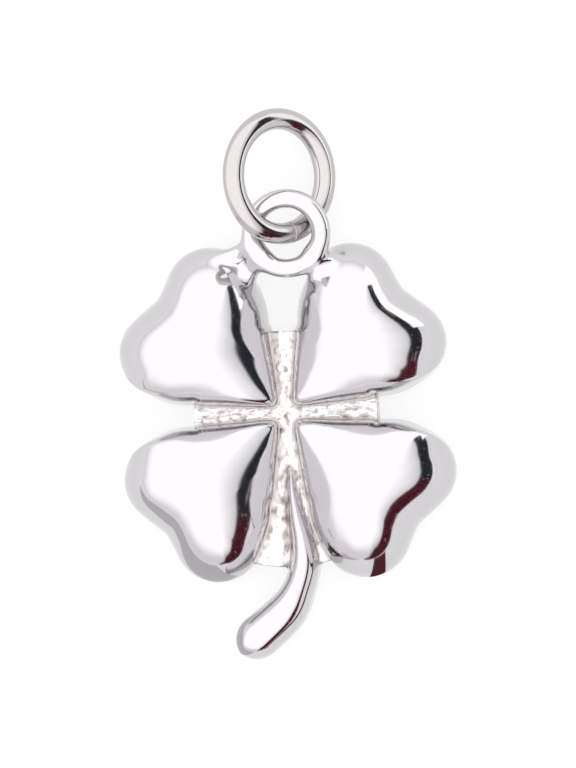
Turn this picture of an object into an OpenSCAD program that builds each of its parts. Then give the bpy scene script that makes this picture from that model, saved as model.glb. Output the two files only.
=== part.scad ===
// A four-leaf clover pendant lying on its back, with its jump ring.
// Millimetres. The origin is the clover's centre on its flat back; +Y points
// to the jump ring, +Z comes out of the domed face.

/* [Leaves] */
// Height of a leaf's crown above the back
crown_h = 2.95; // [2.5:0.05:3.3]
// Height of the upright rim below each dome
rim_h = 0.3; // [0.2:0.05:0.5]
// Distance from the clover's centre to a lobe's centre
lobe_reach = 5.2; // [5:0.05:5.4]
// Radius of a lobe
lobe_r = 1.6; // [1.5:0.05:1.7]
// Angle from a leaf's axis to a lobe's centre
lobe_spread = 16; // [15:0.5:17]
// How much further the upright lobe reaches than the level one
lobe_skew = 0.14; // [0:0.02:0.2]
// Depth over which the notch between two lobes is rounded
notch_soft = 1.3; // [1.1:0.05:1.5]
// Distance from a leaf's side line to the clover's centre
side_gap = 0.17; // [0.12:0.01:0.25]
// Angle from a leaf's axis to its straight sides
side_angle = 41; // [40:0.25:42]
// Height of a leaf at its straight sides
roof_h = 1.55; // [1.4:0.05:1.7]

/* [Web] */
// Height of the backing web between the leaves
web_h = 0.9; // [0.7:0.05:1.2]
// Radius of the web's round middle
web_r = 3.4; // [3.1:0.05:3.6]
// Where the web is cut straight toward the loop
web_top = 3.02; // [2.8:0.02:3.2]
// Radius of the fan of web beside the stem
fan_r = 5.65; // [5.2:0.05:5.8]

/* [Stem] */
// Height of the stem's ridge at its thick end
stem_h = 1.75; // [1.4:0.05:2]

/* [Hanging loop] */
// Inner diameter of the fixed loop
loop_inner_d = 1.86; // [1.8:0.02:2]
// Diameter of the loop's wire
loop_wire_d = 0.7; // [0.6:0.02:0.76]
// Height of the loop's middle above the back
loop_mid_h = 1.73; // [1.7:0.01:1.76]

/* [Jump ring] */
// Outer diameter of the jump ring
ring_outer_d = 5; // [4.9:0.05:5.1]
// Diameter of the jump ring's wire
ring_wire_d = 0.79; // [0.75:0.01:0.8]
// Lean of the jump ring, its left side raised
ring_lean = 42.5; // [42:0.25:43]

/* [Hidden] */

// The leaves: direction of the axis in degrees, the side of it, 1 or -1, on
// which the upright lobe lies, and the size of the outline
LEAVES = [
    [44.8, 1, 0.985],
    [136.2, -1, 1],
    [222.7, 1, 0.995],
    [317.3, -1, 1],
];
DIRECTION = 0;
UPRIGHT = 1;
SIZE = 2;

shoulder_reach = 4.3;
shoulder_spread = 9.5;
shoulder_r = 2.07;
core_r = 3.4;
join_soft = 0.3;
side_soft = 0.35;
crown_at = 3.55;
crown_r = 2.85;
// The roof over each straight side: its rise, how much steeper it gets past
// roof_from, and its fillet with the dome
roof_rise = 0.8;
roof_twist = 0.1;
roof_from = 2;
roof_soft = 0.55;
// How far the dome's own edge lies beyond the sides, and beyond the inner tip
dome_over = 1;
tip_over = 0.9;
wall_lean = 0.12;
leaf_steps = 72;
dome_steps = 13;
edge_halvings = 16;
far_edge = 4.5;

// The stem's sections, from the web out to the cut end: x, y, half width,
// and height as a share of stem_h
STEM = [
    [0.10, -2.10, 0.10, 0.60],
    [0.13, -2.90, 0.20, 0.72],
    [0.25, -3.80, 0.33, 0.84],
    [0.42, -4.70, 0.44, 0.92],
    [0.45, -5.55, 0.54, 0.97],
    [0.18, -6.45, 0.60, 1.00],
    [-0.33, -7.28, 0.75, 1.00],
    [-1.32, -8.13, 0.80, 0.92],
];
stem_cuts = 4;
stem_sides = 16;
stem_cap_steps = 4;
stem_cap_l = 0.95;

loop_r = (loop_inner_d + loop_wire_d) / 2;
loop_at = [0.36, 6.58, loop_mid_h];
ring_r = (ring_outer_d - ring_wire_d) / 2;
ring_at = [0.20, 8.68, ring_r * sin(ring_lean) + ring_wire_d / 2];

// The loop's feet: angle round the loop where each starts, where it ends
// inside an upper leaf, and its radius at both ends
FEET = [
    [-44, [2.1, 4.9, 0.75], 0.36, 0.42],
    [224, [-1.6, 4.8, 0.7], 0.36, 0.36],
    [200, [-2.7, 5.45, 0.8], 0.26, 0.26],
];
FOOT_ANGLE = 0;
FOOT_END = 1;
FOOT_R1 = 2;
FOOT_R2 = 3;

// Two values joined with a fillet about k wide: the smaller, less a
// parabola where they are nearly equal
function soft_min(a, b, k) =
    let (h = max(k - abs(a - b), 0) / k) min(a, b) - h * h * k / 4;
function soft_max(a, b, k) = -soft_min(-a, -b, k);
function polar(r, a) = [r * cos(a), r * sin(a)];
function disc(p, at, r) = norm(p - at) - r;

// Distance outside a leaf's outline, in the leaf's frame with its axis on +X:
// two lobes, two shoulders and the core in one, cut by the two straight sides
function lobes(p) =
    soft_min(
        disc(p, polar(lobe_reach + lobe_skew / 2, lobe_spread), lobe_r + lobe_skew / 3),
        disc(p, polar(lobe_reach - lobe_skew / 2, -lobe_spread), lobe_r - lobe_skew / 3),
        notch_soft);
function shoulders(p) =
    min(disc(p, polar(shoulder_reach, shoulder_spread), shoulder_r),
        disc(p, polar(shoulder_reach, -shoulder_spread), shoulder_r),
        norm(p) - core_r);
function sides(p) =
    soft_max(p.y * cos(side_angle) - p.x * sin(side_angle) + side_gap,
             -p.y * cos(side_angle) - p.x * sin(side_angle) + side_gap, side_soft);
function outline(p) =
    soft_max(soft_min(lobes(p), shoulders(p), join_soft), sides(p), join_soft);

// How far the outline lies from the crown in one direction, by halving
function edge(a, near = 1, far = far_edge, n = edge_halvings) =
    let (mid = (near + far) / 2)
    n == 0 ? mid
    : outline([crown_at, 0] + polar(mid, a)) < 0 ? edge(a, mid, far, n - 1)
    : edge(a, near, mid, n - 1);

// A smooth rise from 0 to 1
function ease(x) = let (t = max(0, min(1, x))) t * t * (3 - 2 * t);

// How much a direction from the crown faces the straight sides, and how far
// the dome's own edge lies beyond the outline there
function turned(a) = abs(a > 180 ? a - 360 : a);
function inner(a) = ease((turned(a) - 55) / 35);
function over(a) = dome_over * inner(a) + tip_over * ease((turned(a) - 120) / 50);

// Height of the roof over a point of the leaf's frame
function roof(p) =
    let (out = p.x * cos(side_angle) + abs(p.y) * sin(side_angle),
         rise = roof_rise + roof_twist * pow(max(out - roof_from, 0), 2))
    roof_h - rise * sides(p);

// One leaf: rings of points from the back up the wall and over the dome. A
// ring at level s, 1 at the rim and 0 at the crown, is the dome's edge drawn
// in toward a circle, at the height of half an ellipse or of the roof. Where
// it would pass the outline it stays on that, leaning in as it rises.
module leaf(upright, size) {
    edges = [for (i = [0 : leaf_steps - 1]) edge(360 * i / leaf_steps)];
    levels = [for (j = [0 : dome_steps - 1]) cos(90 * j / dome_steps)];
    skin = [
        for (s = levels, i = [0 : leaf_steps - 1])
            let (a = 360 * i / leaf_steps,
                 r = s * crown_r + s * s * (edges[i] + over(a) - crown_r),
                 dome = rim_h + (crown_h - rim_h) * sqrt(1 - s * s),
                 at = min(r, edges[i]),
                 cut = soft_min(dome, roof([crown_at, 0] + polar(at, a)), roof_soft),
                 z = max(rim_h, cut),
                 reach = min(r, edges[i] - wall_lean * inner(a) * (z - rim_h)),
                 p = [crown_at, 0] + polar(reach, a))
            [size * p.x, size * upright * p.y, z]
    ];
    foot = [
        for (i = [0 : leaf_steps - 1])
            let (p = [crown_at, 0] + polar(edges[i], 360 * i / leaf_steps))
            [size * p.x, size * upright * p.y, 0]
    ];
    points = concat(foot, skin,
        [[size * crown_at, 0, 0], [size * crown_at, 0, crown_h]]);
    rows = dome_steps + 1;
    back = rows * leaf_steps;
    crown = back + 1;
    walls = [
        for (j = [0 : rows - 2], i = [0 : leaf_steps - 1])
            let (a = j * leaf_steps + i, b = j * leaf_steps + (i + 1) % leaf_steps)
            each [[a, a + leaf_steps, b], [b, a + leaf_steps, b + leaf_steps]]
    ];
    top = (rows - 1) * leaf_steps;
    caps = [
        for (i = [0 : leaf_steps - 1])
            let (next = (i + 1) % leaf_steps)
            each [[back, i, next], [crown, top + next, top + i]]
    ];
    faces = concat(walls, caps);
    polyhedron(points, upright > 0 ? faces : [for (f = faces) [f[2], f[1], f[0]]]);
}

module leaves() {
    for (row = LEAVES) rotate(row[DIRECTION]) leaf(row[UPRIGHT], row[SIZE]);
}

// The flat web that carries the leaves, with a fan of it beside the stem
module web() {
    linear_extrude(web_h) {
        intersection() {
            circle(web_r, $fn = 96);
            translate([-web_r, -web_r]) square([2 * web_r, web_r + web_top]);
        }
        intersection() {
            circle(fan_r, $fn = 96);
            polygon([[0, 0], [-1.75, -fan_r], [1.95, -fan_r]]);
        }
    }
}

// A smooth curve through rows of numbers, at t counted in rows
function row_at(rows, i) = rows[max(0, min(len(rows) - 1, i))];
function curve(rows, t) =
    let (i = min(floor(t), len(rows) - 2),
         f = t - i,
         a = row_at(rows, i - 1),
         b = row_at(rows, i),
         c = row_at(rows, i + 1),
         d = row_at(rows, i + 2))
    b + 0.5 * f * (c - a + f * (2 * a - 5 * b + 4 * c - d + f * (3 * (b - c) + d - a)));

// The stem: an arched section carried along the curve, closed by a round end
module stem() {
    last = len(STEM) - 1;
    body = [for (k = [0 : last * stem_cuts]) curve(STEM, k / stem_cuts)];
    headings = [for (k = [0 : len(body) - 1])
        let (a = body[max(0, k - 1)], b = body[min(len(body) - 1, k + 1)])
        atan2(b[1] - a[1], b[0] - a[0])];
    end = body[len(body) - 1];
    end_heading = headings[len(headings) - 1];
    cap = [for (k = [1 : stem_cap_steps])
        let (a = 86 * k / stem_cap_steps)
        [end[0] + stem_cap_l * sin(a) * cos(end_heading),
         end[1] + stem_cap_l * sin(a) * sin(end_heading),
         end[2] * cos(a), end[3] * (0.45 + 0.55 * cos(a))]];
    rows = concat(body, cap);
    turns = concat(headings, [for (c = cap) end_heading]);
    points = [for (k = [0 : len(rows) - 1], i = [0 : stem_sides])
        let (a = 180 * i / stem_sides, w = rows[k][2] * cos(a))
        [rows[k][0] - w * sin(turns[k]), rows[k][1] + w * cos(turns[k]),
         i == 0 || i == stem_sides ? 0
         : stem_h * rows[k][3] * (0.35 + 0.65 * sin(a))]];
    n = stem_sides + 1;
    skin = [for (k = [0 : len(rows) - 2], i = [0 : stem_sides])
        let (a = k * n + i, b = k * n + (i + 1) % n)
        each [[a, a + n, b], [b, a + n, b + n]]];
    start_fan = [for (i = [1 : n - 2]) [0, i, i + 1]];
    tail = (len(rows) - 1) * n;
    end_fan = [for (i = [1 : n - 2]) [tail, tail + i + 1, tail + i]];
    polyhedron(points, concat(skin, start_fan, end_fan));
}

// A round bar between two points, thinner at its far end
module bar(from, to, r1, r2) {
    d = to - from;
    translate(from)
        rotate([0, acos(d.z / norm(d)), atan2(d.y, d.x)]) cylinder(norm(d), r1, r2, $fn = 24);
}

// The fixed loop in the clover's plane, with a foot into each upper leaf
module hanging_loop() {
    translate(loop_at)
        rotate_extrude($fn = 72) translate([loop_r, 0]) circle(d = loop_wire_d, $fn = 24);
    for (foot = FEET)
        bar(loop_at + concat(polar(loop_r, foot[FOOT_ANGLE]), 0), foot[FOOT_END],
            foot[FOOT_R1], foot[FOOT_R2]);
}

module clover_casting() {
    color("silver") union() {
        leaves();
        web();
        stem();
        hanging_loop();
    }
}

// The jump ring, through the loop and down to the surface at its right side
module jump_ring() {
    color("gainsboro")
        translate(ring_at) rotate([0, ring_lean, 0])
            rotate_extrude($fn = 96) translate([ring_r, 0]) circle(d = ring_wire_d, $fn = 24);
}

clover_casting();
jump_ring();
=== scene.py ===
"""A four-leaf clover pendant in polished silver, lying on its back with its jump ring.

Shapes are worked out in millimetres with numpy and become Blender meshes in metres. The origin is the
clover's centre on its flat back, +Y points to the jump ring and +Z comes out of the domed face.
"""

import logging
import math
from collections.abc import Callable, Sequence
from dataclasses import dataclass, field
from enum import Enum
from functools import partial

import bpy
import numpy as np
from mathutils import Matrix, Vector


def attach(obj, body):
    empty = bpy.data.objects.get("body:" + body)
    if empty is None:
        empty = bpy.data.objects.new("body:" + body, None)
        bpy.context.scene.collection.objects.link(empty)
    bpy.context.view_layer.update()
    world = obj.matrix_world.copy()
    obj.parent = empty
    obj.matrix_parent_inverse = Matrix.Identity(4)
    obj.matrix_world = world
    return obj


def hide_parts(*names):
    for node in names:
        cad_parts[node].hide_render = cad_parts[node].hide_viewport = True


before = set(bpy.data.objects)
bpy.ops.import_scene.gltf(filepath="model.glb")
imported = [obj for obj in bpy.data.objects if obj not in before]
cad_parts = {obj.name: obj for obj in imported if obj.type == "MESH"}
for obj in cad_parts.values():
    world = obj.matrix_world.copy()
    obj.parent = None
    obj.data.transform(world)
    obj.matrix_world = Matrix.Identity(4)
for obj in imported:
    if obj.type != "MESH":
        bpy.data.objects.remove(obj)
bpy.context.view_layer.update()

log = logging.getLogger("clover_pendant")

MM = 0.001
BODY = "root"

Array = np.ndarray
Distance = Callable[[Array], Array]
Marks = dict[str, Array]
Span = tuple[float, float]
Spot = tuple[float, float, float]
Colour = tuple[float, float, float]
Material = bpy.types.Material
Socket = bpy.types.NodeSocket
Value = Socket | Colour | float

UP = np.array([0.0, 0.0, 1.0])
# A distance past the reach of every fillet
FAR = 1.0
HALVINGS = 28
# Multipliers that leave no order among the numbers of neighbouring cells
STREW_X, STREW_Y, STREW_SEED, STREW_ALL = 127.1, 311.7, 74.7, 43758.5453


class Solid(Enum):
    """The frame's solids that the pieces stand for, each with its material slot in the record."""

    CASTING = ("clover_casting", "polished_silver")
    RING = ("jump_ring", "ring_silver")


# Plane and space arithmetic on whole arrays


def soft_min(a: Array, b: Array, width: float) -> Array:
    """The smaller of two values, less a parabola where they are less than width apart: a fillet."""
    near = np.maximum(width - np.abs(a - b), 0.0) / width
    return np.minimum(a, b) - near * near * width / 4.0


def soft_max(a: Array, b: Array, width: float) -> Array:
    """The larger of two values, with the fillet of soft_min turned over."""
    return -soft_min(-a, -b, width)


def eased(x: Array, span: Span = (0.0, 1.0)) -> Array:
    """Rises from 0 to 1 as x crosses a span, level at both ends: 3t squared less 2t cubed."""
    t = np.clip((x - span[0]) / (span[1] - span[0]), 0.0, 1.0)
    return t * t * (3.0 - 2.0 * t)


def unit(v: Array) -> Array:
    """Vectors of length 1 in the directions of v."""
    return v / np.maximum(np.linalg.norm(v, axis=-1, keepdims=True), 1e-12)


def polar(r: Array | float, degrees: Array | float) -> Array:
    """Points in the plane at radius r and an angle from +X."""
    a = np.radians(degrees)
    return np.stack([r * np.cos(a), r * np.sin(a)], axis=-1)


def lifted(plane: Array, z: Array) -> Array:
    """Rings of points seen from above, each ring put at its own height."""
    return np.concatenate([plane, np.broadcast_to(z[:, None, None], (*plane.shape[:2], 1))], axis=-1)


def parts_of(turn: float, count: int, first: int = 0) -> Array:
    """The angles, in radians, that cut a turn in degrees into even parts, from the one numbered first."""
    return np.radians(turn * np.arange(first, count + 1) / count)


def halve(value: Distance, between: Span, count: int) -> Array:
    """Finds where a row of rising values crosses zero, by halving.

    Args:
        value: Gives the values at a row of positions.
        between: A position below every crossing and one above.
        count: Length of the row.

    Returns:
        The positions of the crossings.
    """
    low, high = (np.full(count, end) for end in between)
    for _ in range(HALVINGS):
        mid = (low + high) / 2.0
        below = value(mid) < 0.0
        low, high = np.where(below, mid, low), np.where(below, high, mid)
    return (low + high) / 2.0


def slope(value: Distance, p: Array, step: float = 0.004, here: Array | None = None) -> Array:
    """How fast a value rises along x, y and z.

    Args:
        value: The function.
        p: Points.
        step: The step over which its difference is taken.
        here: The value at the points, if known. The difference is then taken to one side alone.

    Returns:
        The three rises at each point.
    """
    if here is not None:
        return np.stack([value(p + step * axis) - here for axis in np.eye(3)], axis=-1) / step
    rises = [value(p + step * axis) - value(p - step * axis) for axis in np.eye(3)]
    return np.stack(rises, axis=-1) / (2.0 * step)


def strewn(cell: Array, seed: float) -> Array:
    """A number from 0 to 1 for each whole-numbered cell, with no visible order."""
    mixed = np.sin(cell[..., 0] * STREW_X + cell[..., 1] * STREW_Y + seed * STREW_SEED) * STREW_ALL
    return mixed - np.floor(mixed)


def grains(u: Array, v: Array, seed: float) -> tuple[Array, Array]:
    """Grains strewn one to a unit square, each at a random place in its own square.

    Args:
        u: First coordinate, counted in grains.
        v: Second coordinate, counted in grains.
        seed: Chooses the pattern.

    Returns:
        The distance from each point to the nearest grain's middle, and that grain's own random number.
    """
    place = np.stack([u, v], axis=-1)
    home = np.floor(place)
    nearest, number = np.full(u.shape, np.inf), np.zeros(u.shape)
    for step in ((i, j) for i in (-1, 0, 1) for j in (-1, 0, 1)):
        cell = home + np.array(step)
        middle = cell + np.stack([strewn(cell, seed), strewn(cell, seed + 1.0)], axis=-1)
        away = np.linalg.norm(place - middle, axis=-1)
        number = np.where(away < nearest, strewn(cell, seed + 2.0), number)
        nearest = np.minimum(away, nearest)
    return nearest, number


# Grids of points and the closed shells made from them


@dataclass
class Shell:
    """A closed surface in millimetres.

    Its finish reads the marks, one number per point, by name. The normals are its shading directions.
    """

    points: Array
    faces: list[list[int]]
    marks: Marks = field(default_factory=dict)
    normals: Array | None = None

    def volume(self) -> float:
        """Volume inside, by the sum of the tetrahedra from the origin to each face; below 0 if inside out."""
        triangles = [(face[0], *face[k:k + 2]) for face in self.faces for k in range(1, len(face) - 1)]
        a, b, c = self.points[np.array(triangles)].transpose(1, 0, 2)
        return float(np.sum(a * np.cross(b, c))) / 6.0

    def outward(self) -> "Shell":
        """The same shell with every face looking out."""
        if self.volume() < 0.0:
            self.faces = [face[::-1] for face in self.faces]
        return self


def tube(rings: Array, tips: Sequence[Array] = (), marks: Marks | None = None,
         normals: Array | None = None) -> Shell:
    """A tube of rings. A fan of triangles closes each end, or the end joins the start as in a link.

    Args:
        rings: Points as (ring, place round it, xyz).
        tips: The points that close the first and the last ring, or none for a link.
        marks: Named numbers, one per point of the rings.
        normals: Shading directions in the rings' layout.

    Returns:
        The closed shell.
    """
    points, marks = rings.reshape(-1, 3), {name: v.reshape(-1) for name, v in (marks or {}).items()}
    normals = None if normals is None else normals.reshape(-1, 3)
    index = np.arange(len(points)).reshape(rings.shape[:2])
    if not tips:
        index = np.concatenate([index, index[:1]])
    after = np.roll(index, -1, axis=1)
    faces = np.stack([index[:-1], after[:-1], after[1:], index[1:]], axis=-1).reshape(-1, 4).tolist()
    if tips:
        ends = index[0], index[-1]
        for number, a, b in ((len(points), after[0], ends[0]), (len(points) + 1, ends[1], after[-1])):
            faces += np.stack([np.full(len(a), number), a, b], axis=-1).tolist()
        points = np.concatenate([points, tips])
        marks = {name: np.append(v, [v[end].mean() for end in ends]) for name, v in marks.items()}
        if normals is not None:
            normals = np.concatenate([normals, unit(np.array([normals[end].mean(axis=0) for end in ends]))])
    return Shell(points, faces, marks, normals).outward()


def wire_ring(centre: Array, ring_r: float, lean: float, turn: Array, wire_r: Array | float,
              round_wire: int) -> tuple[Array, Array]:
    """A circle carried round a circle that leans over, its +X side down.

    Args:
        centre: The ring's centre.
        ring_r: Radius of the wire's middle line.
        lean: Angle of the lean in degrees.
        turn: Angles in radians of the places along the ring, as a column.
        wire_r: Radius of the wire, everywhere or at each place along the ring.
        round_wire: Number of points round the wire.

    Returns:
        The points and their normals, as (place along the ring, place round the wire, xyz).
    """
    down, level = math.sin(math.radians(lean)), math.cos(math.radians(lean))
    across, out, axis = np.array([level, 0.0, -down]), np.array([0.0, 1.0, 0.0]), np.array([down, 0.0, level])
    a = parts_of(360.0, round_wire)[None, :-1, None]
    spoke = np.cos(turn)[..., None] * across + np.sin(turn)[..., None] * out
    normals = np.cos(a) * spoke + np.sin(a) * axis
    return centre + ring_r * spoke + wire_r * normals, normals


def ring_normals(rings: Array, start: Array, end: Array) -> Array:
    """Unit normals of a capped tube: the step round each ring crossed with the step from ring to ring.

    Args:
        rings: Points as (ring, place round it, xyz).
        start: The point that closes the first ring.
        end: The point that closes the last ring.

    Returns:
        Normals in the rings' layout, turned away from the tube's middle.
    """
    around = np.roll(rings, -1, axis=1) - np.roll(rings, 1, axis=1)
    tips = [np.broadcast_to(p, rings[:1].shape) for p in (start, end)]
    padded = np.concatenate([tips[0], rings, tips[1]])
    normals = unit(np.cross(around, padded[2:] - padded[:-2]))
    outwards = np.sum(normals * (rings - rings.mean(axis=(0, 1)))) > 0.0
    return normals if outwards else -normals


@dataclass(frozen=True)
class Blend:
    """How a part's surface is drawn out to the whole casting's.

    It goes by the distances outside the casting with its fillets, the part alone and its nearest neighbour.
    """

    whole: Distance
    own: Distance
    others: Distance
    reach: float = 0.7
    # The neighbour's distance over the part's own, from where a point stays to where it moves fully
    share: Span = (0.45, 0.92)
    steps: int = 7
    stride: float = 0.2
    flattest: float = 0.2
    miss: float = 0.02
    shade_rise: float = 4.0
    shade_from_z: float = 0.1

    def settle(self, rings: Array, normals: Array) -> tuple[Array, Array]:
        """Moves a part's surface onto the whole casting's, as metal fills the corners of a mould.

        Each point within reach of a neighbour follows the slope of the casting's distance to where that is
        zero, in Newton steps of a stride at most. Where the neighbour is then nearer than the part itself,
        the point stays and the neighbour covers it. The shading follows the slope too.

        Args:
            rings: Points as (ring, place round it, xyz).
            normals: Their unit normals.

        Returns:
            The moved points and the shading directions.
        """
        points, shading = rings.reshape(-1, 3).copy(), normals.reshape(-1, 3).copy()
        gap = self.others(points)
        near = gap < self.reach
        p, n = points[near], shading[near]
        moved = p
        for _ in range(self.steps):
            here = self.whole(moved)
            rise = slope(self.whole, moved, here=here)
            far = -here / np.maximum(np.linalg.norm(rise, axis=-1), self.flattest)
            moved = moved + np.clip(far, -self.stride, self.stride)[:, None] * unit(rise)
        ratio = self.others(moved) / np.maximum(self.own(moved), 1e-6)
        share = eased(ratio, self.share) * (np.abs(self.whole(moved)) < self.miss)
        p = p + share[:, None] * (moved - p)
        p[:, 2] = np.maximum(p[:, 2], 0.0)
        points[near] = p
        felt = eased(self.shade_rise * (1.0 - gap[near] / self.reach)) * (p[:, 2] > self.shade_from_z)
        shading[near] = unit(n + felt[:, None] * (unit(slope(self.whole, p)) - n))
        return points.reshape(rings.shape), shading.reshape(rings.shape)


# Finishes


@dataclass(frozen=True)
class Paint:
    """The tree of shader nodes of a material or of the sky, while it is put together."""

    tree: bpy.types.NodeTree

    def put(self, socket: Socket, value: Value) -> None:
        """Links another node's output to a socket, or sets the socket to a colour or number."""
        if isinstance(value, bpy.types.NodeSocket):
            self.tree.links.new(value, socket)
        else:
            socket.default_value = (*value, 1.0) if isinstance(value, tuple) else value

    def add(self, kind: str, inputs: dict[str | int, Value], **settings: str) -> bpy.types.Node:
        """Adds a node.

        Args:
            kind: Its type, without the word ShaderNode.
            inputs: What goes into its inputs, by name or number.
            settings: Its other settings.

        Returns:
            The node.
        """
        node = self.tree.nodes.new(f"ShaderNode{kind}")
        for name, setting in settings.items():
            setattr(node, name, setting)
        for name, value in inputs.items():
            self.put(node.inputs[name], value)
        return node

    def place(self, kind: str = "Object") -> Socket:
        """The coordinates of the point that is shaded."""
        return self.add("TexCoord", {}).outputs[kind]

    def mark(self, name: str) -> Socket:
        """The value of a mesh's mark."""
        return self.add("Attribute", {}, attribute_name=name).outputs["Fac"]

    def noise(self, size_mm: float, detail: float) -> Socket:
        """Noise from 0 to 1 with features about size_mm across and a number of finer octaves."""
        inputs = {"Vector": self.place(), "Scale": 1.0 / (size_mm * MM), "Detail": detail}
        return self.add("TexNoise", inputs).outputs["Fac"]

    def spread(self, value: Socket, low: float, high: float, of: Span = (0.0, 1.0),
               eased: bool = False) -> Socket:
        """Stretches a value from one range onto another.

        Args:
            value: The value.
            low: Result at the range's start.
            high: Result at its end.
            of: The range that the value comes from.
            eased: Whether the result levels off at both ends.

        Returns:
            The result.
        """
        inputs = {"Value": value, "From Min": of[0], "From Max": of[1], "To Min": low, "To Max": high}
        kind = "SMOOTHSTEP" if eased else "LINEAR"
        return self.add("MapRange", inputs, interpolation_type=kind).outputs["Result"]

    def dyed(self, share: Socket, a: Value, b: Value) -> Socket:
        """A colour that goes from a to b as share goes from 0 to 1."""
        return self.add("Mix", {"Factor": share, 6: a, 7: b}, data_type="RGBA").outputs[2]

    def principled(self, inputs: dict[str, Value]) -> None:
        """Sets inputs of the tree's principled shader."""
        for name, value in inputs.items():
            self.put(self.tree.nodes["Principled BSDF"].inputs[name], value)

    def metal(self, colour: Value, roughness: Socket, height: Socket, depth_mm: float) -> None:
        """Makes the tree's principled shader a metal.

        Args:
            colour: Its colour.
            roughness: Its roughness.
            height: Its relief, from 0 to 1.
            depth_mm: Height of the relief at 1.
        """
        bump = self.add("Bump", {"Distance": depth_mm * MM, "Height": height})
        self.principled({
            "Base Color": colour, "Metallic": 1.0, "Roughness": roughness, "Normal": bump.outputs["Normal"],
        })


def new_material(name: str, bare: bool = False) -> tuple[Material, Paint]:
    """A new material.

    Args:
        name: Its name.
        bare: Whether its tree starts out empty, without the principled shader.

    Returns:
        The material and its tree.
    """
    material = bpy.data.materials.new(name)
    material.use_nodes = True
    if bare:
        material.node_tree.nodes.clear()
    return material, Paint(material.node_tree)


@dataclass(frozen=True)
class PolishedSilver:
    """Mirror-bright plated silver, with the faint haze and ripple that a polishing wheel leaves."""

    name: str = "polished_silver"
    colour: Colour = (0.605, 0.59, 0.605)
    gloss: Span = (0.05, 0.12)
    haze_size: float = 2.2
    ripple_size: float = 1.3
    ripple_h: float = 0.003

    def material(self) -> Material:
        """Builds the material: roughness varies between the two gloss values over haze_size."""
        material, paint = new_material(self.name)
        haze = paint.spread(paint.noise(self.haze_size, 3.0), *self.gloss)
        paint.metal(self.colour, haze, paint.noise(self.ripple_size, 1.0), self.ripple_h)
        return material


@dataclass(frozen=True)
class CastGrain:
    """The rough cast web: bright on its grains, a brown-grey painted shade in its pits, smoother and in a
    darker painted shade along the leaves' feet.
    """

    name: str = "cast_grain"
    peak: Colour = (0.80, 0.78, 0.77)
    # Painted shade: the brown-grey tone of the grain's hollows
    pit: Colour = (0.27, 0.22, 0.195)
    # Painted shade: a darker tone for the band along the leaves' feet, where they meet the web
    foot: Colour = (0.46, 0.42, 0.40)
    pit_to_peak: Span = (0.04, 0.36)
    gloss: Span = (0.25, 0.50)
    foot_gloss: float = 0.28
    grit_size: float = 0.09
    grit_h: float = 0.008

    def material(self) -> Material:
        """Builds the material: the grain mark is 0 in a pit and 1 on a grain, lower where shade is painted,
        the foot mark 1 on the feet.
        """
        material, paint = new_material(self.name)
        foot, grit = paint.mark("foot"), paint.noise(self.grit_size, 2.0)
        height = paint.spread(paint.mark("grain"), 0.0, 1.0, self.pit_to_peak)
        # Painted shade: the pit tone darkens the hollows and the painted shade mark, and the foot tone the
        # band along the leaves' feet
        colour = paint.dyed(foot, paint.dyed(height, self.pit, self.peak), self.foot)
        gloss = paint.add("Mix", {"Factor": foot, "A": paint.spread(grit, *self.gloss), "B": self.foot_gloss})
        paint.metal(colour, gloss.outputs["Result"], grit, self.grit_h)
        return material


@dataclass(frozen=True)
class DrawnWire:
    """Drawn wire in a darker silver than the casting, a painted shade that greys the whole ring, duller where
    the jump ring was closed.
    """

    name: str = "ring_silver"
    # Painted shade: darker than the casting's silver so that the whole ring looks greyer
    colour: Colour = (0.52, 0.495, 0.49)
    gloss: Span = (0.10, 0.35)
    line_size: float = 0.5
    line_h: float = 0.0015

    def material(self) -> Material:
        """Builds the material: roughness follows the mesh's scuff mark, 1 at the joint."""
        material, paint = new_material(self.name)
        gloss = paint.spread(paint.mark("scuff"), *self.gloss)
        paint.metal(self.colour, gloss, paint.noise(self.line_size, 3.0), self.line_h)
        return material


def new_object(name: str, points: Array, faces: list[list[int]], material: Material,
               marks: Marks) -> bpy.types.Object:
    """Makes a mesh in metres into an object of the scene.

    Args:
        name: The object's name.
        points: Its points in millimetres.
        faces: Its faces' point numbers.
        material: Its finish.
        marks: Named numbers, one per point.

    Returns:
        The object.
    """
    mesh = bpy.data.meshes.new(name)
    mesh.from_pydata((points * MM).tolist(), [], faces)
    for label, values in marks.items():
        mesh.attributes.new(label, "FLOAT", "POINT").data.foreach_set("value", values.astype(np.float32))
    mesh.materials.append(material)
    made = bpy.data.objects.new(name, mesh)
    bpy.context.collection.objects.link(made)
    return made


def place_piece(name: str, shell: Shell, material: Material, solid: Solid) -> None:
    """Makes a shell a piece of the object: a smooth mesh that rides where its solid does.

    Args:
        name: The piece's name.
        shell: Its surface in millimetres.
        material: Its finish.
        solid: The frame's solid that it stands for.
    """
    node, slot = solid.value
    piece = new_object(name, shell.points, shell.faces, material, shell.marks)
    piece.data.shade_smooth()
    if shell.normals is not None:
        piece.data.normals_split_custom_set_from_vertices(shell.normals.tolist())
    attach(piece, BODY)
    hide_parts(node)
    triangles = sum(len(face) - 2 for face in shell.faces)
    log.info("%s: %d triangles, %.2f cubic mm", name, triangles, shell.volume())


# The casting's parts


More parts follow.
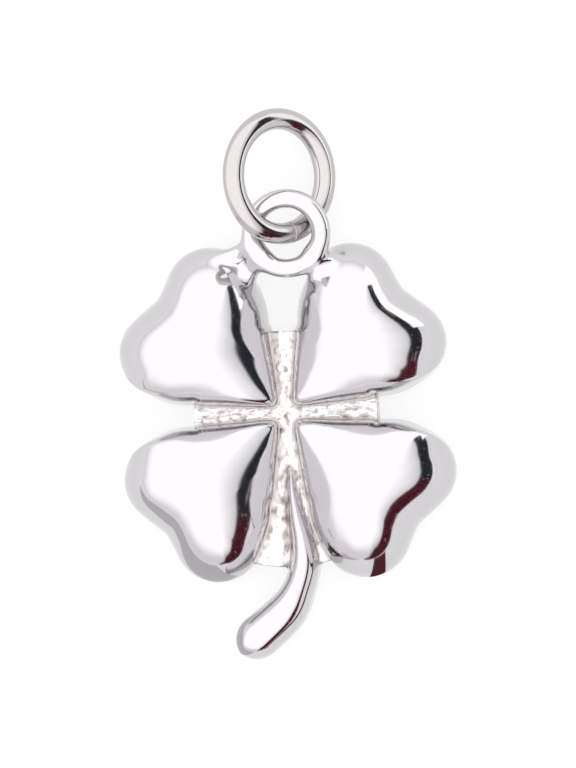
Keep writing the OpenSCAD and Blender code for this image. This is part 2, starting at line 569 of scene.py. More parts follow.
@dataclass(frozen=True)
class LeafForm:
    """The heart shape of a leaf, in its own frame with the leaf's axis on +X."""

    crown_h: float = 2.95
    rim_h: float = 0.3
    lobe_reach: float = 5.2
    lobe_r: float = 1.6
    lobe_spread: float = 16.0
    lobe_skew: float = 0.14
    notch_soft: float = 1.3
    shoulder_reach: float = 4.3
    shoulder_spread: float = 9.5
    shoulder_r: float = 2.07
    core_r: float = 3.4
    join_soft: float = 0.3
    side_gap: float = 0.17
    side_angle: float = 41.0
    side_soft: float = 0.35
    # How far the outline lies from the crown at least and at most
    edge_between: Span = (1.0, 4.5)
    crown_at: float = 3.55
    crown_r: float = 2.85
    foot_r: float = 0.08
    # The roof is the flatter slope over each straight side: its height there and its rise inward, which
    # grows by roof_twist times the square of the distance out past twist_from
    roof_h: float = 1.36
    roof_rise: float = 0.92
    roof_twist: float = 0.127
    twist_from: float = 2.0
    twist_round: float = 0.6
    roof_soft: float = 1.06
    ridge_soft: float = 1.6
    # The roof's extra height over the side that faces the level gap, and how wide the change is
    level_roof: float = 0.5
    level_w: float = 1.6
    # How far the dome's own edge lies beyond the outline, where the wall cuts it off
    dome_over: float = 0.34
    level_over: float = 1.0
    tip_over: float = 0.42
    # Directions from the crown, in degrees off the axis, where the straight sides and the tip begin
    side_from: Span = (55.0, 90.0)
    tip_from: Span = (120.0, 170.0)
    wall_lean: float = 0.12
    wall_soft: float = 0.26
    # Bell curves in degrees that round the edge at the foot and, as the dome rises, further up
    sharp: float = 1.6
    blunt: float = 11.0

    def outline(self, p: Array) -> Array:
        """Distance outside the outline: two lobes, two shoulders and a core, all discs, cut by the sides.

        Args:
            p: Points in the plane.

        Returns:
            The distance, below 0 inside.
        """

        def disc(reach: float, degrees: float, r: float) -> Array:
            """Distance outside a disc whose middle is at a reach and an angle."""
            return np.linalg.norm(p - polar(reach, degrees), axis=-1) - r

        half, share = self.lobe_skew / 2.0, self.lobe_skew / 3.0
        lobe, *rest = (
            disc(self.lobe_reach + half, self.lobe_spread, self.lobe_r + share),
            disc(self.lobe_reach - half, -self.lobe_spread, self.lobe_r - share),
            disc(self.shoulder_reach, self.shoulder_spread, self.shoulder_r),
            disc(self.shoulder_reach, -self.shoulder_spread, self.shoulder_r),
            disc(0.0, 0.0, self.core_r),
        )
        body = soft_min(soft_min(lobe, rest[0], self.notch_soft), np.min(rest[1:], axis=0), self.join_soft)
        return soft_max(body, self.sides(p, self.side_soft), self.join_soft)

    def sides(self, p: Array, soft: float) -> Array:
        """Distance outside the wedge between the two straight sides.

        Args:
            p: Points in the plane.
            soft: Width over which the wedge's ridge line and tip are rounded.

        Returns:
            The distance, below 0 inside.
        """
        angle = math.radians(self.side_angle)
        x, y = p[..., 0] * math.sin(angle) - self.side_gap, p[..., 1] * math.cos(angle)
        return soft_max(y - x, -y - x, soft)

    def roof(self, p: Array) -> Array:
        """Distance above the roof, whose height grows inward from the straight sides.

        Args:
            p: Points of the leaf's frame, as x, y and z.

        Returns:
            The distance, below 0 under the roof.
        """
        angle = math.radians(self.side_angle)
        out = p[..., 0] * math.cos(angle) + np.hypot(p[..., 1], self.twist_round) * math.sin(angle)
        rise = self.roof_rise + self.roof_twist * np.maximum(out - self.twist_from, 0.0) ** 2
        height = self.roof_h + self.level_roof * eased(0.5 - p[..., 1] / self.level_w)
        return (p[..., 2] - height + rise * self.sides(p[..., :2], self.ridge_soft)) / np.hypot(1.0, rise)

    def facing(self, degrees: Array, span: Span) -> Array:
        """Rises from 0 to 1 as a direction from the crown turns off the axis through a span of degrees."""
        return eased(np.abs((degrees + 180.0) % 360.0 - 180.0), span)

    def over(self, degrees: Array) -> Array:
        """How far the dome's own edge lies beyond the outline.

        Args:
            degrees: Directions from the crown.

        Returns:
            The distance in each, more on the level gap's side and at the tip.
        """
        side, tip = self.facing(degrees, self.side_from), self.facing(degrees, self.tip_from)
        more = (self.level_over - self.dome_over) * eased(0.5 - np.sin(np.radians(degrees)))
        return (self.dome_over + more) * side + self.tip_over * tip

    def edge(self, degrees: Array) -> Array:
        """How far the outline lies from the crown in each direction."""
        crown = np.array([self.crown_at, 0.0])
        return halve(lambda r: self.outline(crown + polar(r, degrees)), self.edge_between, len(degrees))


LOWER_LEAF = LeafForm(roof_h=1.25, roof_rise=0.85, roof_twist=0.04, ridge_soft=1.3, level_roof=0.35)


@dataclass
class Leaf:
    """One domed leaf: a form turned to its direction, its upright lobe on one side."""

    name: str
    direction: float
    upright: int
    size: float
    form: LeafForm = LeafForm()
    around: int = 400
    over: int = 84
    wall_steps: int = 4
    foot_steps: int = 4
    table_steps: int = 14400
    newton_steps: int = 4
    top_level: float = 1.3
    level_step: float = 0.002
    flattest: float = 0.05
    ahead: float = 0.5
    beyond: float = 4.7

    def __post_init__(self) -> None:
        """Tabulates the outline once round, for the distance function, as drawn and rounded more and more."""
        self.table_at = np.linspace(-180.0, 180.0, self.table_steps + 1)
        edge = self.form.edge(self.table_at[:-1])
        over = self.form.over(self.table_at[:-1])
        waves = np.fft.rfftfreq(self.table_steps, 1.0 / self.table_steps)

        def rounded(values: Array, degrees: float) -> Array:
            """Values once round, averaged with a bell curve that many degrees wide."""
            soft = np.fft.rfft(values) * np.exp(-0.5 * (waves * math.radians(degrees)) ** 2)
            around = np.fft.irfft(soft, self.table_steps)
            return np.append(around, around[0])

        self.edge_table = rounded(edge, self.form.sharp)
        self.dome_table = rounded(edge + over, self.form.sharp)
        self.blunt_table = rounded(edge + over, self.form.blunt)
        a = math.radians(self.direction)
        self.turn = np.array([[math.cos(a), -math.sin(a)], [math.sin(a), math.cos(a)]])
        self.back = self.placed(np.array([self.form.crown_at, 0.0, 0.0]))

    def placed(self, p: Array) -> Array:
        """Points of the leaf's own frame, scaled, mirrored and turned into the clover's."""
        plane = p[..., :2] * self.size * np.array([1.0, self.upright])
        return np.concatenate([plane @ self.turn.T, p[..., 2:]], axis=-1)

    def own_frame(self, p: Array) -> Array:
        """Points of the clover's frame in the leaf's own, its axis on +X."""
        plane = (p[..., :2] @ self.turn) / self.size * np.array([1.0, self.upright])
        return np.concatenate([plane, p[..., 2:]], axis=-1)

    def from_crown(self, q: Array) -> tuple[Array, Array]:
        """Distance and direction in degrees from the crown, seen from above in the leaf's own frame."""
        x, y = q[..., 0] - self.form.crown_at, q[..., 1]
        return np.hypot(x, y), np.degrees(np.arctan2(y, x))

    def level(self, q: Array) -> Array:
        """The level of the dome on which a point lies: 1 on the surface, less inside.

        A level s has its outline at s * crown_r + s**2 * (blunt - crown_r) + s**4 * (edge - blunt) from
        the crown, where blunt is the edge rounded off. Newton steps find s from the distance. It and the
        height over the rim as a share of the dome's are the legs of a right triangle, the level its long
        side.

        Args:
            q: Points in the leaf's own frame.

        Returns:
            The level.
        """
        f = self.form
        r, degrees = self.from_crown(q)
        blunt = np.interp(degrees, self.table_at, self.blunt_table)
        fine = np.interp(degrees, self.table_at, self.dome_table) - blunt
        wide = blunt - f.crown_r
        s = np.minimum(r / blunt, self.top_level)
        for _ in range(self.newton_steps):
            here = s * (f.crown_r + s * (wide + s * s * fine))
            s = s - (here - r) / (f.crown_r + s * (2.0 * wide + 4.0 * s * s * fine))
            s = np.clip(s, 0.0, self.top_level)
        height = np.maximum(q[..., 2] - f.rim_h, 0.0) / (f.crown_h - f.rim_h)
        return np.hypot(s, height)

    def distance(self, p: Array) -> Array:
        """Distance outside the leaf, to first order.

        The dome's is the level past 1, over the level's slope. The roof and the wall, which is the outline
        leaning inward as it rises beside the straight sides, cut the dome, each with its fillet.

        Args:
            p: Points in the clover's frame, a row each.

        Returns:
            The distance, FAR for points farther than beyond from the crown.
        """
        f = self.form
        near = np.linalg.norm(p[:, :2] - self.back[:2], axis=-1) < self.beyond
        q = self.own_frame(p[near])
        here = self.level(q)
        rise = np.linalg.norm(slope(self.level, q, self.level_step, here), axis=-1)
        raised = soft_max((here - 1.0) / np.maximum(rise, self.flattest), f.roof(q), f.roof_soft)
        r, degrees = self.from_crown(q)
        inner = f.facing(degrees, f.side_from)
        edge = np.interp(degrees, self.table_at, self.edge_table)
        ahead = np.interp(degrees + self.ahead, self.table_at, self.edge_table, period=360.0)
        skew = (ahead - edge) / (math.radians(self.ahead) * np.maximum(r, 0.5))
        wall = (r - edge + f.wall_lean * inner * np.maximum(q[..., 2] - f.rim_h, 0.0)) / np.hypot(1.0, skew)
        value = np.full(len(p), FAR)
        value[near] = soft_max(raised, wall, f.wall_soft * inner + 0.0001) * self.size
        return value

    def drawn(self, p: Array) -> Array:
        """Draws points over the rim onto the leaf's surface, in Newton steps along the distance's slope.

        Args:
            p: Points in the clover's frame, a row each.

        Returns:
            The moved points, none of them below the rim.
        """
        for _ in range(self.newton_steps):
            rise = slope(self.distance, p)
            rise[:, 2] *= p[:, 2] > self.form.rim_h + 0.01
            p = p - self.distance(p)[:, None] * unit(rise)
            p[:, 2] = np.maximum(p[:, 2], self.form.rim_h)
        return p

    def rings(self) -> Array:
        """Rings of points from the crown over the dome, down the wall and round its foot to the back.

        At an angle t from 0 to 90 degrees the level is the sine of t and the height over the rim the
        dome's times the cosine. Points past the leaf's own outline go back to it, and all are drawn onto
        the surface. Below the rim the wall is upright, and the foot is a quarter circle of foot_r.

        Returns:
            Points as (ring, place round it, xyz) in the clover's frame.
        """
        f = self.form
        degrees = np.arange(self.around) * 360.0 / self.around - 180.0
        edge, dome_edge, blunt = (
            np.interp(degrees, self.table_at, table)
            for table in (self.edge_table, self.dome_table, self.blunt_table)
        )
        dome, foot = parts_of(90.0, self.over, 1), parts_of(90.0, self.foot_steps, 1)
        s = np.sin(dome)[:, None]
        reach = np.minimum(s * (f.crown_r + s * (blunt - f.crown_r + s * s * (dome_edge - blunt))), edge)
        inset = np.concatenate([np.zeros(self.wall_steps), f.foot_r * (1.0 - np.cos(foot))])[:, None]
        z = np.concatenate([
            f.rim_h + (f.crown_h - f.rim_h) * np.cos(dome),
            np.linspace(f.rim_h, f.foot_r, self.wall_steps + 1)[1:], f.foot_r * (1.0 - np.sin(foot)),
        ])
        plane = np.array([f.crown_at, 0.0]) + polar(np.concatenate([reach, edge - inset]), degrees)
        rings = self.placed(lifted(plane, z))
        rings[:self.over] = self.drawn(rings[:self.over].reshape(-1, 3)).reshape(*reach.shape, 3)
        return rings

    def shell(self, blend: Blend) -> Shell:
        """The leaf's surface, drawn out to what it runs into.

        Args:
            blend: The leaf's neighbours.

        Returns:
            The closed shell.
        """
        crown, rings = self.drawn(self.back[None] + self.form.crown_h * UP)[0], self.rings()
        points, shading = blend.settle(rings, ring_normals(rings, crown, self.back))
        return tube(points, (crown, self.back), normals=shading)


@dataclass
class Stem:
    """The curved stem: an arched section carried along a curve and closed by a round end."""

    ridge_h: float = 1.75
    wall_share: float = 0.35
    cuts: int = 22
    cap_steps: int = 26
    cap_l: float = 0.95
    cap_turn: float = 88.5
    tip_share: float = 0.45
    foot_r: float = 0.06
    arch_steps: int = 44
    foot_steps: int = 4
    # The distance goes by every third piece of the curve, for points below top and within side of middle_x
    coarse: int = 3
    top: float = -1.2
    middle_x: float = -0.3
    side: float = 2.6
    # x, y, half width, and height as a share of ridge_h, from the web out to the cut end
    rows: tuple[tuple[float, float, float, float], ...] = (
        (0.10, -2.10, 0.10, 0.60), (0.13, -2.90, 0.20, 0.72),
        (0.25, -3.80, 0.33, 0.84), (0.42, -4.70, 0.44, 0.92),
        (0.45, -5.55, 0.54, 0.97), (0.18, -6.45, 0.60, 1.00),
        (-0.33, -7.28, 0.75, 1.00), (-1.32, -8.13, 0.80, 0.92),
    )

    def __post_init__(self) -> None:
        """Works out the curve: rows of x, y, half width and height share, and the heading at each.

        Between rows it is the cubic whose slope at a row is half the step from the row before to the row
        after. Over the cap, at an angle t, it runs on straight by cap_l times the sine of t, while the width
        falls with the cosine of t and the height to tip_share.
        """
        rows = np.array(self.rows)
        last = len(rows) - 1
        t = np.linspace(0.0, last, last * self.cuts + 1)
        i = np.minimum(np.floor(t).astype(int), last - 1)
        f = (t - i)[:, None]
        a, b, c, d = (rows[np.clip(i + k, 0, last)] for k in (-1, 0, 1, 2))
        body = b + 0.5 * f * (c - a + f * (2 * a - 5 * b + 4 * c - d + f * (3 * (b - c) + d - a)))
        step = np.gradient(body[:, :2], axis=0)
        heading = np.arctan2(step[:, 1], step[:, 0])
        turn = parts_of(self.cap_turn, self.cap_steps, 1)
        x, y, half, height = body[-1]
        run = self.cap_l * np.sin(turn)
        share = self.tip_share + (1.0 - self.tip_share) * np.cos(turn)
        x, y = x + run * np.cos(heading[-1]), y + run * np.sin(heading[-1])
        cap = np.stack([x, y, half * np.cos(turn), height * share], axis=-1)
        self.course = np.concatenate([body, cap])
        self.heading = np.concatenate([heading, np.full(self.cap_steps, heading[-1])])

    def rings(self) -> Array:
        """Sections along the stem, each an arch on two upright walls with small round feet and a flat back.

        On the arch, at an angle a, the place across is the half width times the cosine of a and the height
        is the ridge's times wall_share plus the rest times the sine of a.

        Returns:
            Points as (section, place round it, xyz).
        """
        x, y, half, share = self.course.T
        a, b = parts_of(180.0, self.arch_steps), parts_of(90.0, self.foot_steps)
        arch_across = half[:, None] * np.cos(a)
        arch_up = self.ridge_h * share[:, None] * (self.wall_share + (1.0 - self.wall_share) * np.sin(a))
        foot = np.minimum(self.foot_r, 0.5 * half)[:, None]
        foot_across = half[:, None] - foot * (1.0 - np.cos(b))
        foot_up = foot * (1.0 - np.sin(b))
        across = np.concatenate([arch_across, -foot_across, foot_across[:, ::-1]], axis=1)
        up = np.concatenate([arch_up, foot_up, foot_up[:, ::-1]], axis=1)
        side = np.stack([-np.sin(self.heading), np.cos(self.heading)], axis=-1)
        plane = np.stack([x, y], axis=-1)[:, None] + across[..., None] * side[:, None]
        return np.concatenate([plane, up[..., None]], axis=-1)

    def distance(self, p: Array) -> Array:
        """Distance outside the stem, to first order.

        As shares of the half width and the arch's height at the nearest place on the curve, the distance
        across and the height over the walls are the legs of a right triangle. What its long side has over
        1 is divided by its slope.

        Args:
            p: Points in the clover's frame, a row each.

        Returns:
            The distance, FAR for points away from the stem.
        """
        value = np.full(len(p), FAR)
        near = (p[:, 1] < self.top) & (np.abs(p[:, 0] - self.middle_x) < self.side)
        p = p[near]
        joints = self.course[::self.coarse]
        start, step = joints[:-1], np.diff(joints, axis=0)
        along = np.sum(step[:, :2] ** 2, axis=-1)
        t = np.einsum("nsk,sk->ns", p[:, None, :2] - start[None, :, :2], step[:, :2]) / along
        t = np.clip(t, 0.0, 1.0)
        foot = start[None, :, :2] + t[..., None] * step[None, :, :2]
        away = np.linalg.norm(p[:, None, :2] - foot, axis=-1)
        rows, pick = np.arange(len(p)), np.argmin(away, axis=1)
        at = start[pick] + t[rows, pick][:, None] * step[pick]
        half, crest = np.maximum(at[:, 2], 0.02), self.ridge_h * at[:, 3]
        arch = (1.0 - self.wall_share) * crest
        a, b = away[rows, pick] / half, np.maximum(p[:, 2] - self.wall_share * crest, 0.0) / arch
        long_side = np.maximum(np.hypot(a, b), 1e-6)
        value[near] = (long_side - 1.0) / (np.hypot(a / half, b / arch) / long_side)
        return value

    def shell(self, blend: Blend) -> Shell:
        """The stem's surface, drawn out to what it runs into.

        Args:
            blend: The stem's neighbours.

        Returns:
            The closed shell.
        """
        rings = self.rings()
        start, end = rings[0].mean(axis=0), rings[-1].mean(axis=0)
        points, _ = blend.settle(rings, ring_normals(rings, start, end))
        return tube(points, (start, end))


@dataclass
class Web:
    """The rough backing web between the leaves, with a fan of it beside the stem."""

    top_h: float = 0.9
    round_r: float = 3.4
    top_cut: float = 3.02
    fan_r: float = 5.65
    fan_left: float = -1.75
    fan_right: float = 1.95
    edge_r: float = 0.08
    edge_between: Span = (0.5, 7.0)
    back_z: float = 0.03
    grain_long: float = 0.30
    grain_wide: float = 0.26
    grain_h: float = 0.17
    # Least height of a coarse grain, what finer grains share in the height, and how much finer they are
    grain_least: float = 0.45
    fine_share: float = 0.25
    finer: float = 1.9
    seed: float = 3.0
    # How far the grains' pattern is moved on from one gap to the next, coarse and fine
    gap_shift: Span = (31.0, 9.0)
    # The grain starts over these distances from the leaves' feet, and the painted shade along them fades
    # from the same distance over its own width, which is another on the near left
    foot_w: Span = (0.03, 0.12)
    shade_w: Span = (0.20, 0.40)
    # The painted shade on the left of the upper gap: where it starts along Y beyond |x|, and where it fades
    # along X
    gap_from: Span = (0.2, 0.6)
    gap_fade: Span = (-0.15, 0.05)
    # How strong the two painted shades are, and how much they darken the grain
    shade_strengths: Span = (0.85, 0.9)
    darkening: float = 0.75
    around: int = 640
    crowding: float = 0.80
    out: int = 116
    edge_steps: int = 5
    wall_steps: int = 6

    def outline(self, plane: Array) -> Array:
        """Distance outside the web seen from above: the round middle cut straight at the top, or the fan.

        Args:
            plane: Points seen from above.

        Returns:
            The distance, below 0 inside.
        """
        r = np.linalg.norm(plane, axis=-1)
        middle = np.maximum(r - self.round_r, plane[..., 1] - self.top_cut)
        left, right = unit(np.array([[-self.fan_r, -self.fan_left], [self.fan_r, self.fan_right]]))
        fan = np.maximum(np.maximum(plane @ left, plane @ right), r - self.fan_r)
        return np.minimum(middle, fan)

    def distance(self, p: Array) -> Array:
        """Distance outside the web, its top edge rounded with a radius of edge_r.

        Args:
            p: Points.

        Returns:
            The distance.
        """
        side, above = self.outline(p[..., :2]) + self.edge_r, p[..., 2] - self.top_h + self.edge_r
        corner = np.hypot(np.maximum(side, 0.0), np.maximum(above, 0.0)) - self.edge_r
        return corner + np.minimum(np.maximum(side, above), 0.0)

    def grain(self, plane: Array) -> Array:
        """Height of the cast grain, from 0 to 1.

        Grains are counted outward and across from the middle line of the nearest gap between leaves, so
        they line up in streaks. Each is a dome with its own height, and finer grains ride on it.

        Args:
            plane: Points seen from above.

        Returns:
            The height.
        """
        r = np.linalg.norm(plane, axis=-1)
        turn = np.degrees(np.arctan2(plane[..., 1], plane[..., 0]))
        gap = np.round(turn / 90.0)
        across = np.radians(turn - 90.0 * gap) * r
        shift, fine_shift = self.gap_shift
        coarse, own = grains(r / self.grain_long + shift * gap, across / self.grain_wide, self.seed)
        fine, fine_own = grains(
            self.finer * r / self.grain_long, self.finer * across / self.grain_wide + fine_shift * gap,
            self.seed + 5.0,
        )
        least = self.grain_least
        dome = (least + (1.0 - least) * own) * (1.0 - np.minimum(coarse, 1.0) ** 2) ** 1.5
        fine_dome = fine_own * (1.0 - np.minimum(fine, 1.0) ** 2)
        return np.clip((1.0 - self.fine_share) * dome + self.fine_share * fine_dome, 0.0, 1.0)

    def painted_shade(self, points: Array, beside: Array) -> Array:
        """How much shade is painted on the web: along the leaves' feet, and on the left of the upper gap.

        Args:
            points: Points as (ring, place round it, xyz).
            beside: Their distances from the nearest neighbour.

        Returns:
            The painted shade, from 0 to 1.
        """
        x, y = points[..., 0], points[..., 1]
        width = np.where((y < -0.4) & (x < 0.0), self.shade_w[1], self.shade_w[0])
        feet = 1.0 - eased((beside - self.foot_w[0]) / width)
        gap = eased(y - np.abs(x), self.gap_from) * (1.0 - eased(x + 0.03 * y, self.gap_fade))
        return np.maximum(self.shade_strengths[0] * feet, self.shade_strengths[1] * gap)

    def shell(self, blend: Blend) -> Shell:
        """The web's surface: a disc of rings out to its outline, round its edge, down the wall and under.

        The directions crowd towards the four gaps between the leaves: an even angle u becomes u less a
        quarter of crowding times the sine of 4u. Once drawn out to its neighbours, the surface rises by
        the grain, which fades out over foot_w from them.

        Args:
            blend: The web's neighbours.

        Returns:
            The closed shell, marked with the grain's height, lowered where shade is painted, and with the
            smooth feet.
        """
        even = (np.arange(self.around) + 0.25) * 2.0 * math.pi / self.around
        ray = polar(1.0, np.degrees(even - self.crowding / 4.0 * np.sin(4.0 * even)))
        edge = halve(lambda r: self.outline(r[:, None] * ray), self.edge_between, self.around)
        share = np.arange(1, self.out + 1)[:, None] / self.out
        bend = parts_of(90.0, self.edge_steps, 1)
        reach = np.concatenate([
            share * (edge - self.edge_r), edge - self.edge_r * (1.0 - np.sin(bend[:, None])),
            np.broadcast_to(edge, (self.wall_steps, self.around)),
        ])
        z = np.concatenate([
            np.full(self.out, self.top_h), self.top_h - self.edge_r * (1.0 - np.cos(bend)),
            np.linspace(self.top_h - self.edge_r, self.back_z, self.wall_steps + 1)[1:],
        ])
        tilt = np.concatenate([np.zeros(self.out), bend, np.full(self.wall_steps, math.pi / 2.0)])[:, None]
        rim = np.append(edge[:, None] * ray, np.zeros((self.around, 1)), axis=1)
        outward = unit(slope(lambda q: self.outline(q[..., :2]), rim))
        normals = unit(np.cos(tilt)[..., None] * UP + np.sin(tilt)[..., None] * outward)
        points, _ = blend.settle(lifted(reach[..., None] * ray, z), normals)
        beside = blend.others(points.reshape(-1, 3)).reshape(reach.shape)
        bare, grain = eased(beside, self.foot_w), self.grain(points[..., :2])
        # Painted shade: the grain mark is lowered along the leaves' feet and on the left of the upper gap,
        # darkening the web towards its pit tone
        marks = {"grain": grain * (1.0 - self.darkening * self.painted_shade(points, beside)), "foot": 1.0 - bare}
        points[..., 2] += self.grain_h * (grain - 0.5) * bare * np.cos(tilt)
        return tube(points, ((self.top_h + 0.3 * self.grain_h) * UP, self.back_z * UP), marks)


@dataclass
class LoopFoot:
    """A tapered bar from the hanging loop down into an upper leaf."""

    name: str
    leaves_at: float
    end: Spot
    start_r: float
    end_r: float
    along: int = 72
    around: int = 84
    cap_steps: int = 8

    def axis(self, loop: "HangingLoop") -> tuple[Array, Array]:
        """The bar's two ends: on the middle line of the loop's wire, and inside the leaf."""
        start = np.array(loop.centre) + np.append(polar(loop.ring_r, self.leaves_at), 0.0)
        return start, np.array(self.end)

    def distance(self, loop: "HangingLoop") -> Distance:
        """The function that gives the distance outside the bar, round-ended, from its middle line.

        Args:
            loop: The loop that it springs from.

        Returns:
            The function.
        """
        start, end = self.axis(loop)
        step = end - start

        def outside(p: Array) -> Array:
            """Distance to the nearest point of the middle line, less the radius there."""
            t = np.clip((p - start) @ step / (step @ step), 0.0, 1.0)
            away = np.linalg.norm(p - start - t[..., None] * step, axis=-1)
            return away - self.start_r - t * (self.end_r - self.start_r)

        return outside

    def shell(self, loop: "HangingLoop", blend: Blend) -> Shell:
        """The bar's surface: circles along the middle line, with a half sphere at each end.

        Args:
            loop: The loop that it springs from.
            blend: The bar's neighbours.

        Returns:
            The closed shell.
        """
        start, end = self.axis(loop)
        length = float(np.linalg.norm(end - start))
        along = (end - start) / length
        side = unit(np.cross(along, UP))
        cap, a = parts_of(90.0, self.cap_steps, 1)[:-1], parts_of(360.0, self.around)[:-1, None]
        t = np.linspace(0.0, 1.0, self.along)
        place = np.concatenate([-self.start_r * np.cos(cap), t * length, length + self.end_r * np.sin(cap)])
        bar_r = self.start_r + t * (self.end_r - self.start_r)
        radius = np.concatenate([self.start_r * np.sin(cap), bar_r, self.end_r * np.cos(cap)])
        spoke = np.cos(a) * side + np.sin(a) * np.cross(side, along)
        rings = start + place[:, None, None] * along + radius[:, None, None] * spoke
        tips = start - self.start_r * along, end + self.end_r * along
        points, shading = blend.settle(rings, ring_normals(rings, *tips))
        return tube(points, tips, normals=shading)


@dataclass
class HangingLoop:
    """The fixed loop in the clover's plane, with a foot into each upper leaf and one along the left leaf."""

    inner_d: float = 1.86
    wire_d: float = 0.7
    centre: Spot = (0.36, 6.58, 1.73)
    around: int = 360
    round_wire: int = 80
    foot_soft: float = 0.35
    pit_at: float = 109.0
    pit_r: float = 0.05
    pit_depth: float = 0.06
    feet: tuple[LoopFoot, ...] = (
        LoopFoot("loop_foot_right", -40.0, (2.0, 4.7, 0.5), 0.34, 0.36),
        LoopFoot("loop_foot_left", 222.0, (-1.75, 4.7, 0.5), 0.34, 0.34),
        LoopFoot("loop_foot_edge", 196.0, (-2.9, 5.35, 0.6), 0.26, 0.26),
    )

    @property
    def ring_r(self) -> float:
        """Radius of the wire's middle line."""
        return (self.inner_d + self.wire_d) / 2.0

    def wire_distance(self, p: Array) -> Array:
        """Distance outside the loop's wire: how far from the middle line's circle, less the wire's radius."""
        q = p - np.array(self.centre)
        return np.hypot(np.hypot(q[..., 0], q[..., 1]) - self.ring_r, q[..., 2]) - self.wire_d / 2.0

    def bars(self) -> list[Distance]:
        """The distances outside the loop's wire and outside each foot, each by itself."""
        return [self.wire_distance, *(foot.distance(self) for foot in self.feet)]

    def distance(self, p: Array) -> Array:
        """Distance outside the loop and its feet, joined with fillets, the feet first.

        Args:
            p: Points.

        Returns:
            The distance.
        """
        wire, feet, *more = (bar(p) for bar in self.bars())
        for foot in more:
            feet = soft_min(feet, foot, self.foot_soft)
        return soft_min(wire, feet, self.foot_soft)

    def shell(self, blend: Blend) -> Shell:
        """The loop's wire: a circle carried round a circle, with one small casting pit on its top.

        Args:
            blend: The wire's neighbours.

        Returns:
            The closed shell.
        """
        turn = parts_of(360.0, self.around)[:-1, None]
        centre, wire_r = np.array(self.centre), self.wire_d / 2.0
        rings, normals = wire_ring(centre, self.ring_r, 0.0, turn, wire_r, self.round_wire)
        points, shading = blend.settle(rings, normals)
        pit = centre + np.append(polar(self.ring_r, self.pit_at), wire_r)
        away = np.linalg.norm(points - pit, axis=-1, keepdims=True)
        points = points - self.pit_depth * np.exp(-((away / self.pit_r) ** 2)) * normals
        return tube(points, normals=shading)


@dataclass
class CloverCasting:
    """The clover in one casting: four leaves on a web, a stem, and the hanging loop with its feet."""

    leaf_soft: float = 0.55
    web_soft: float = 0.07
    stem_soft: float = 0.2
    leaves: tuple[Leaf, ...] = (
        Leaf("leaf_upper_right", 44.8, 1, 0.985),
        Leaf("leaf_upper_left", 136.2, -1, 1.0),
        Leaf("leaf_lower_left", 222.7, 1, 0.995, LOWER_LEAF),
        Leaf("leaf_lower_right", 317.3, -1, 1.0, LOWER_LEAF),
    )
    web: Web = field(default_factory=Web)
    stem: Stem = field(default_factory=Stem)
    loop: HangingLoop = field(default_factory=HangingLoop)
    polish: PolishedSilver = field(default_factory=PolishedSilver)
    grain: CastGrain = field(default_factory=CastGrain)

    def leaves_distance(self, p: Array) -> Array:
        """Distance outside the nearest leaf."""
        return np.min([leaf.distance(p) for leaf in self.leaves], axis=0)

    def whole(self, p: Array) -> Array:
        """Distance outside the whole casting: leaves and loop, then web, then stem, each with its fillet.

        Args:
            p: Points.

        Returns:
            The distance.
        """
        raised = soft_min(self.leaves_distance(p), self.loop.distance(p), self.leaf_soft)
        web, stem = self.web.distance(p), self.stem.distance(p)
        return soft_min(soft_min(raised, web, self.web_soft), stem, self.stem_soft)

    def cast(self, name: str, shell: Callable[[Blend], Shell], own: Distance, others: Sequence[Distance],
             finish: Material) -> None:
        """Draws a part out to the whole casting and places it.

        Args:
            name: The piece's name.
            shell: Makes its surface.
            own: Distance outside the part.
            others: Distances outside the parts that it meets.
            finish: Its material.
        """
        blend = Blend(self.whole, own, lambda p: np.min([other(p) for other in others], axis=0))
        place_piece(name, shell(blend), finish, Solid.CASTING)

    def build(self) -> None:
        """Builds and dresses the pieces of the casting."""
        silver, rough = self.polish.material(), self.grain.material()
        web, stem, leaves, loop = self.web.distance, self.stem.distance, self.leaves_distance, self.loop
        bars = loop.bars()
        for leaf in self.leaves:
            self.cast(leaf.name, leaf.shell, leaf.distance, [*bars, web], silver)
        self.cast("web", self.web.shell, web, [leaves, stem], rough)
        self.cast("stem", self.stem.shell, stem, [web, leaves], silver)
        self.cast("hanging_loop", loop.shell, bars[0], [*bars[1:], leaves], silver)
        for i, foot in enumerate(loop.feet, start=1):
            others = [*bars[:i], *bars[i + 1:], leaves]
            self.cast(foot.name, partial(foot.shell, loop), bars[i], others, silver)


@dataclass
class JumpRing:
    """The round wire ring through the loop, leaning with its left side raised, closed at one place."""

    outer_d: float = 5.0
    wire_d: float = 0.79
    lean: float = 42.5
    x: float = 0.20
    y: float = 8.68
    joint_at: float = -80.0
    joint_w: float = 0.016
    joint_depth: float = 0.035
    scuff_w: float = 0.35
    crowding: float = 0.92
    around: int = 480
    round_wire: int = 72
    finish: DrawnWire = field(default_factory=DrawnWire)

    def shell(self) -> Shell:
        """The ring's wire: a circle carried round a leaning circle, with a fine groove at the joint.

        The ring's lowest side just touches the surface below. The groove takes joint_depth off the wire's
        radius as a bell curve over joint_w, and the stations along the ring crowd towards it: an even angle
        u becomes u less crowding times the sine of u.

        Returns:
            The closed shell, its scuff mark 1 at the joint.
        """
        ring_r, wire_r = (self.outer_d - self.wire_d) / 2.0, self.wire_d / 2.0
        centre = np.array([self.x, self.y, ring_r * math.sin(math.radians(self.lean)) + wire_r])
        even = np.arange(self.around) * 360.0 / self.around
        crowd = self.crowding * np.sin(np.radians(even)) * 180.0 / math.pi
        turn = np.radians(self.joint_at + even - crowd)[:, None]
        away = np.abs((even - crowd + 180.0) % 360.0 - 180.0)[:, None] * math.pi / 180.0 * ring_r
        groove = self.joint_depth * np.exp(-((away / self.joint_w) ** 2))
        rings, _ = wire_ring(centre, ring_r, self.lean, turn, (wire_r - groove)[..., None], self.round_wire)
        scuff = np.broadcast_to(np.exp(-((away / self.scuff_w) ** 2)), rings.shape[:2])
        return tube(rings, marks={"scuff": scuff})

    def build(self) -> None:
        """Builds and dresses the ring."""
        place_piece("jump_ring_wire", self.shell(), self.finish.material(), Solid.RING)


# The studio: surface, light, cards and camera


